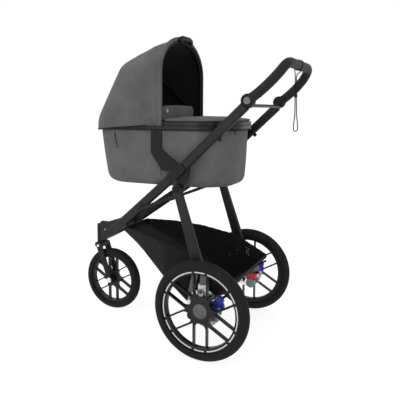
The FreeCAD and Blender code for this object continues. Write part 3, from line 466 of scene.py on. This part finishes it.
def bassinet_ring(z, inset, count=150):
    """The shell's outline at a height, drawn in by an inset."""
    heights = [level[0] for level in BASSINET_LEVELS]
    side, head, foot = [np.interp(z, heights, [level[k] for level in BASSINET_LEVELS]) for k in (1, 2, 3)]
    outline = rounded_outline(HALF - side - inset, HEAD + head + inset, FOOT - foot - inset,
                              CORNER - side - inset)
    return spread(outline, count)


def make_bassinet():
    count = 150
    noise = wobble(3, 90, 130, 220)
    points, slots = [], []
    middle = bassinet_ring(645, 0).mean(0)
    rows = [(645.2, 0, 0.05), (645.2, 0, 0.5), (645.2, 0, 0.9)]
    rows += [(645.5, 3, 1), (648, 1, 1), (652, 0.5, 1), (658, 0, 1)]
    rows += [(z, -1.6 * math.sin(math.pi * (z - 658) / 217), 1) for z in np.linspace(666, 874.6, 26)]
    outside = len(rows)
    rows += [(874.8, 3, 1), (874.8, 6, 1)] + [(z, 8.5, 1) for z in np.linspace(870, 662, 14)]
    rows += [(654, 12, 1), (653.2, 12, 0.9), (653.2, 12, 0.5), (653.2, 12, 0.05)]
    for number, (z, inset, share) in enumerate(rows):
        ring = bassinet_ring(min(z, 875), inset, count)
        for k, (x, y) in enumerate(ring):
            ruck = 0.9 * noise(k * 11.0, z * 0.4) if number < outside and share == 1 else 0
            away = np.array((x, y)) - middle
            x, y = middle + away * (share + ruck / max(1, np.linalg.norm(away)))
            points.append(at(x, y, z))
    faces = grid_faces(len(rows), count, True)
    for number in range(len(rows) - 1):
        slots += [0 if number < outside else 1] * count
    cloths = [finishes["fabric_grey"], finishes["fabric_black"]]
    shell = mesh_piece("bassinet_shell", points, faces, cloths, slots)
    weld(shell, 0.00001)
    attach(shell, "bassinet")
    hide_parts("bassinet_body")
    return shell


def body_surface(x_side, y, z):
    """A place on the bassinet's long side."""
    side = np.interp(z, [level[0] for level in BASSINET_LEVELS], [level[1] for level in BASSINET_LEVELS])
    return at(x_side * (HALF - side + 1.2), y, z)


make_bassinet()
for word, side in (("left", 1), ("right", -1)):
    seam = [body_surface(side, -238 + (875 - z) * 0.06, z) for z in np.linspace(873, 690, 18)]
    line("bassinet_side_seam_" + word, seam, 0.0011, extra["seam"], "bassinet")
    pocket = [body_surface(side, -442 + (862 - z) * 0.16, z) for z in np.linspace(862, 796, 12)]
    line("pocket_slit_" + word, pocket, 0.0018, finishes["fabric_black"], "bassinet")
    trim = [at(side * 202.6, y, z) for y, z in ((-240, 872), (-240, 792), (-206, 742), (-150, 706))]
    line("arm_trim_" + word, trim, 0.0012, extra["seam"], "bassinet")

band = spread(rounded_outline(HALF + 0.2, HEAD - 0.2, FOOT + 0.2, CORNER), 160)
line("rim_bead", [at(x, y, 893) for x, y in band], 0.0016, finishes["fitting_black"], "bassinet",
     True)
line("rim_piping", [at(x, y, 876.5) for x, y in band], 0.0022, finishes["fabric_black"], "bassinet",
     True)

# %% [markdown]
# ## Mattress, apron and wind flap
# All three are stuffed. The apron lies on the rim from the hood to the foot end, and the
# flap stands up at its head end with a press stud.

# %%
mattress_outline = spread(rounded_outline(144, -516, 14, 114), 110)
mattress = pillow("mattress_pad", mattress_outline, lambda a, b, h: at(a, b, 653.3 + h), 31, 3,
                  finishes["fabric_black"], 0.16)
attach(mattress, "bassinet")
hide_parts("mattress")


def apron_outline():
    """The foot end's rounded edge, with a tongue that reaches under the hood."""
    full = rounded_outline(HALF - 4, HEAD, FOOT - 4, CORNER - 4)
    back = sorted([p for p in full if p[1] > -206], key=lambda p: math.atan2(p[1] + 150, p[0]))
    tongue = [(-HALF + 4, -206), (-164, -207), (-158, -246), (158, -246), (164, -207)]
    return spread([(HALF - 4, -206)] + back + tongue, 150)


apron = pillow("foot_apron", apron_outline(), lambda a, b, h: at(a, b, 908.4 + h), 10, 11,
               finishes["fabric_grey"], 0.07, 20, lumps=1.4, seed=8)
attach(apron, "bassinet")
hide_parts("apron")

flap_outline = spread([(-158, 916), (158, 916), (160, 950), (152, 966), (132, 973), (0, 976), (-132, 973),
                       (-152, 966), (-160, 950)], 90)
flap = pillow("wind_flap_pad", flap_outline, lambda a, b, h: at(a, -246 + h + (b - 916) * 0.05, b), 8, 1,
              finishes["fabric_grey"], 0.15, 10, False, 0.8, 5)
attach(flap, "bassinet")
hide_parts("wind_flap")
stud_turns = np.linspace(0, 2 * math.pi, 20)[:-1]
stud_ring = [at(112 + 6 * math.cos(a), -235.6, 952 + 6 * math.sin(a)) for a in stud_turns]
line("press_stud", stud_ring, 0.0018, extra["zip"], "bassinet", True)
line("zip_puller", [at(118, 50, 884), at(120, 66, 876), at(120, 68, 858)], 0.0024,
     finishes["fitting_black"], "bassinet")

# %% [markdown]
# ## Hood
# The hood is stretched over two bows. Each arch below is a pair of straight legs and half
# an ellipse; rows between them are blended, then softened so that creases are round.

# %%
HOOD_HALF = 205
HOOD_BASE = 893
HOOD_ARCHES = ((0, -222, 1254, 150), (12, -312, 1240, 155), (30, -479, 1166, 165), (50, -611, 925, 175),
               (60, -613, 868, 175))
HOOD_Y = -222


def arch(set_back, top_y, top_z, shoulder, half=HOOD_HALF, count=97):
    """Evenly spaced points over one arch, in millimetres."""
    foot = np.array((0, HOOD_Y - set_back, HOOD_BASE), float)
    reach = np.array((0, top_y, top_z)) - foot
    if set_back == 0:
        reach[1] = 0
    height = np.linalg.norm(reach)
    up = reach / height
    spring = height - shoulder
    over = [(half * math.cos(a), spring + shoulder * math.sin(a)) for a in np.linspace(0, math.pi, 60)]
    chain = [(half, 0.0)] + over + [(-half, 0.0)]
    flat = spread(chain, count, False)
    return foot + flat[:, :1] * np.array((1.0, 0, 0)) + flat[:, 1:] * up


def hood_rows():
    marks = [arch(*a) for a in HOOD_ARCHES]
    steps = (14, 24, 30, 8)
    rows = []
    for low, high, count in zip(marks, marks[1:], steps):
        rows += [low + (high - low) * k / count for k in range(count)]
    rows.append(marks[-1])
    rows = np.array(rows)
    for _ in range(10):
        rows[1:-1] = rows[1:-1] * 0.5 + (rows[:-2] + rows[2:]) * 0.25
    return rows


def make_hood():
    rows = hood_rows()
    count, columns, _ = rows.shape
    across = np.gradient(rows, axis=0)
    along = np.gradient(rows, axis=1)
    normal = np.cross(along, across)
    normal /= np.linalg.norm(normal, axis=2, keepdims=True) + 1e-9
    middle = np.array((0, -400, 950))
    flip = np.sign(((rows - middle) * normal).sum(2, keepdims=True))
    normal = normal * flip
    fold = wobble(12, 38, 55, 83)
    slow = wobble(5, 150, 230)
    share = np.linspace(0, 1, count)
    for r in range(count):
        free = math.sin(math.pi * min(1, share[r] * 1.15)) if share[r] < 0.87 else 0.15
        for c in range(columns):
            drop = abs(c / (columns - 1) - 0.5) * 2
            gather = 1.7 * fold(r * 6.0, c * 1.2) * free * (0.35 + 0.65 * drop)
            rows[r, c] += normal[r, c] * (gather + 2.2 * slow(r * 6, c * 9) * free - 2.0 * free)
    points = [at(*p) for p in rows.reshape(-1, 3)]
    hood = mesh_piece("hood_cloth", points, grid_faces(count, columns),
                      [finishes["fabric_grey"], finishes["fabric_black"]])
    outward = hood.data.polygons[(count // 2) * (columns - 1) + columns // 2]
    if (outward.center - at(*middle)).dot(outward.normal) < 0:
        hood.data.flip_normals()
    thicken(hood, 0.003, 1)
    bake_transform(hood)
    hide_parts("canopy_fabric")
    return hood, rows


hood, hood_grid = make_hood()
run = np.linalg.norm(np.diff(hood_grid, axis=1), axis=2).sum(1)
deep = np.linalg.norm(np.diff(hood_grid, axis=0), axis=2).sum(0)
print("hood cloth, mm: widest %.0f, deepest %.0f" % (run.max(), deep.max()))

front_arch = arch(0, -222, 1254, 150, HOOD_HALF)
roll = [at(x * 1.004, y + 2, z + (2 if z > 1000 else 0)) for x, y, z in front_arch]
line("hood_rolled_hem", roll, 0.0092, extra["hem"], "canopy")
half_grip = ((56, -206, 1241), (50, -204, 1252), (32, -203, 1257))
grip = [(-x, y, z) for x, y, z in half_grip] + list(reversed(half_grip))
carry = line("carry_grip", [at(*place) for place in grip], 0.0102, finishes["fitting_black"], "canopy")
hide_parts("carry_handle")
welt = [at(x * 0.975, y + 7, (z - HOOD_BASE) * 0.985 + HOOD_BASE) for x, y, z in front_arch]
line("hood_inner_welt", welt, 0.0035, finishes["fabric_black"], "canopy")


def hood_line(name, row, lift, radius, material):
    """A seam that follows one row of the hood and bends with it."""
    places = [at(*p) for p in hood_grid[row] * np.array((1 + lift / 205, 1, 1))]
    seam = line(name, places, radius, material, "canopy")
    bpy.context.view_layer.update()
    flat = bpy.data.meshes.new_from_object(seam.evaluated_get(bpy.context.evaluated_depsgraph_get()))
    bpy.data.objects.remove(seam)
    piece = bpy.data.objects.new(name, flat)
    bpy.context.scene.collection.objects.link(piece)
    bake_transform(piece)


hood_line("hood_bottom_binding", len(hood_grid) - 1, 0.8, 0.0026, finishes["fabric_black"])

# %% [markdown]
# ## Basket
# One cloth is folded up into a tray and stretched between the frame tubes. Each side has
# a six-cornered window of knitted mesh, and the top edge is rucked along its binding.

# %%
BASKET = ((-457, 103, 410, 430), (-336, 150, 342, 424), (-205, 200, 253, 404), (-100, 210, 178, 384),
          (-45, 210, 165, 376), (37, 210, 224, 335), (108, 210, 286, 298))
WINDOW = ((-92, 300), (-72, 340), (10, 330), (44, 306), (14, 272), (-66, 262))


def inside_window(y, z):
    """Whether a place on the side wall lies in the mesh window."""
    count = len(WINDOW)
    signs = []
    for k in range(count):
        (y0, z0), (y1, z1) = WINDOW[k], WINDOW[(k + 1) % count]
        signs.append((y1 - y0) * (z - z0) - (z1 - z0) * (y - y0))
    return all(s < 0 for s in signs)


def basket_section(y, count=110):
    stations = [b[0] for b in BASKET]
    half, low, high = [np.interp(y, stations, [b[k] for b in BASKET]) for k in (1, 2, 3)]
    radius = min(26, (high - low) * 0.45)
    turn = [(half - radius + radius * math.cos(a), low + radius + radius * math.sin(a))
            for a in np.linspace(0, -math.pi / 2, 9)]
    right = [(half, high)] + turn
    chain = right + [(-x, z) for x, z in reversed(right)]
    return spread(chain, count, False)


def make_basket():
    noise = wobble(21, 34, 52, 90)
    ruck = wobble(9, 16, 27)
    rows = []
    for y in np.linspace(BASKET[0][0], BASKET[-1][0], 96):
        row = []
        section = basket_section(y)
        top = section[0][1]
        for x, z in section:
            near_edge = math.exp(-(top - z) / 35)
            push = 1.2 * noise(y, z) + 2.4 * ruck(y, z * 0.3) * near_edge
            if abs(x) > 20:
                x -= math.copysign(1.2 + abs(push) * 0.6, x)
            row.append((x, y, z + push * 0.3))
        rows.append(row)
    columns = len(rows[0])
    points = [at(*p) for row in rows for p in row]
    faces = grid_faces(len(rows), columns)
    slots = []
    for face in faces:
        middle = sum((points[i] for i in face), Vector()) / 4
        y, z = middle.y * 1000 - AXLE_Y, middle.z * 1000
        slots.append(1 if inside_window(y, z) and abs(middle.x) > 0.19 else 0)
    front = list(range(columns))
    faces.append(tuple(front))
    slots.append(1)
    back = [(len(rows) - 1) * columns + c for c in reversed(range(columns))]
    faces.append(tuple(back))
    slots.append(0)
    basket = mesh_piece("basket_cloth", points, faces, [finishes["fabric_black"], extra["mesh"]], slots)
    thicken(basket, 0.0016)
    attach(basket, "front_frame")
    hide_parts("basket")
    return basket, rows


basket, basket_rows = make_basket()
for word, column in (("left", 0), ("right", -1)):
    edge = [at(*row[column]) for row in basket_rows]
    line("basket_binding_" + word, edge, 0.0032, finishes["fabric_black"], "front_frame")
for word, row in (("front", basket_rows[0]), ("back", basket_rows[-1])):
    line("basket_binding_" + word, [at(*row[0]), at(*row[-1])], 0.003, finishes["fabric_black"],
         "front_frame")
for word, side in (("left", 1), ("right", -1)):
    line("window_piping_" + word, [at(side * 209.5, y, z) for y, z in WINDOW], 0.0022,
         finishes["fabric_black"], "front_frame", True)

# %% [markdown]
# ## Wheels and brakes
# A painted highlight, a light grey ring on each rear rim, is broken where the paired blades
# meet it. The hub caps carry one raised ring, and each brake has a green cable adjuster below the caliper.

# %%
WHEEL_RADIUS = 195
# Inner and outer radius and offset across of the painted highlight ring on each rear rim.
HIGHLIGHT_IN, HIGHLIGHT_OUT, HIGHLIGHT_X = 150.5, 155.5, 305.3
BLADE_HALF_WIDTH, BLADE_REACH = 27, 157
BLADE_HALF_ANGLE = math.degrees(math.asin(BLADE_HALF_WIDTH / BLADE_REACH))
BLADE_GAP = 2.2


# Draws one arc of the painted highlight ring in light grey.
def highlight_arc(name, side, start, end, body):
    points = []
    for k in range(19):
        a = math.radians(start + (end - start) * k / 18)
        for radius in (HIGHLIGHT_IN, HIGHLIGHT_OUT):
            points.append(at(side * HIGHLIGHT_X, -radius * math.sin(a), WHEEL_RADIUS + radius * math.cos(a)))
    strip = mesh_piece(name, points, grid_faces(19, 2), [extra["painted_highlight"]])
    thicken(strip, 0.0006, 0, 0)
    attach(strip, body)


for word, side in (("left", 1), ("right", -1)):
    body = "rear_wheel_" + word
    for k in range(6):
        turn = 60 * k
        pieces = ((BLADE_HALF_ANGLE + BLADE_GAP, 60 - BLADE_HALF_ANGLE - BLADE_GAP),
                  (-BLADE_HALF_ANGLE + BLADE_GAP, BLADE_HALF_ANGLE - BLADE_GAP))
        for number, (start, end) in enumerate(pieces):
            highlight_arc("rim_stripe_%s_%d_%d" % (word, k, number), side, turn + start, turn + end, body)
    line("cap_ring_" + word, ring_about_x(side * 305.2, 0, WHEEL_RADIUS, 14, 39), 0.0009,
         finishes["cap_grey"], body, True)
    line("tilt_hub_ring_" + word, ring_about_x(side * 227.6, 150, 989, 19.5, 47), 0.0042,
         finishes["fitting_black"], "grip_bar", True)
    adjuster = [at(side * 262, y, z) for y, z in ((62, 210), (64, 196), (70, 184))]
    line("cable_adjuster_" + word, adjuster, 0.0065, extra["green"], "arm_" + word)

# %% [markdown]
# ## Small frame details
# Low round heads mark the nose block's bolts and the caps on the legs' pivots.

# %%
def button_head(name, x, y, z, radius, material, body):
    """A low round head whose axis lies along X."""
    return line(name, ring_about_x(x, y, z, radius / 2, 15), radius / 2000, material, body, True)


for word, side in (("left", 1), ("right", -1)):
    button_head("nose_bolt_front_" + word, side * 38, -604, 392, 5, finishes["bright_steel"],
                "front_frame")
    button_head("nose_bolt_back_" + word, side * 69, -533, 410, 5, finishes["bright_steel"],
                "front_frame")
    button_head("leg_cap_" + word, side * 244, -130, 645, 8, finishes["fitting_black"],
                "upper_frame")

# %% [markdown]
# ## Studio
# A pale floor under a bright even sky, a large soft lamp above the camera's left and a
# weaker one behind the handle, so that every black part keeps an edge. The floor gives off
# some light of its own, so that its shadow stays faint.

# %%
def make_studio():
    bpy.ops.mesh.primitive_plane_add(size=60, location=(0, 0, 0))
    floor = bpy.context.object
    floor.name = "floor"
    f = Finish("pale_studio_floor")
    pale = f.ramp(f.noise(0.8), 0.3, 0.7, "#848484", "#8c8c8c")
    floor.data.materials.append(f.finish(Base_Color=pale, Roughness=0.9, Specular_IOR_Level=0.0,
                                         Emission_Color=(1, 1, 1, 1), Emission_Strength=0.82))
    world = bpy.data.worlds.new("studio_sky")
    bpy.context.scene.world = world
    world.use_nodes = True
    sky = world.node_tree.nodes["Background"]
    sky.inputs["Color"].default_value = (1, 1, 1, 1)
    sky.inputs["Strength"].default_value = 1.0
    for name, place, size, power, aim in (
            ("key", (2.2, -1.2, 2.6), 1.8, 34, (0, 0, 0.7)),
            ("side", (1.6, 2.4, 1.4), 1.4, 16, (0, 0, 0.8)),
            ("low", (2.4, -0.4, 0.5), 1.0, 8, (0, 0.1, 0.4))):
        lamp = bpy.data.lights.new(name, "AREA")
        lamp.size = size
        lamp.energy = power
        holder = bpy.data.objects.new(name, lamp)
        holder.location = place
        holder.rotation_euler = (Vector(aim) - Vector(place)).to_track_quat("-Z", "Y").to_euler()
        bpy.context.scene.collection.objects.link(holder)
    bpy.context.scene.view_settings.view_transform = "Standard"


make_studio()
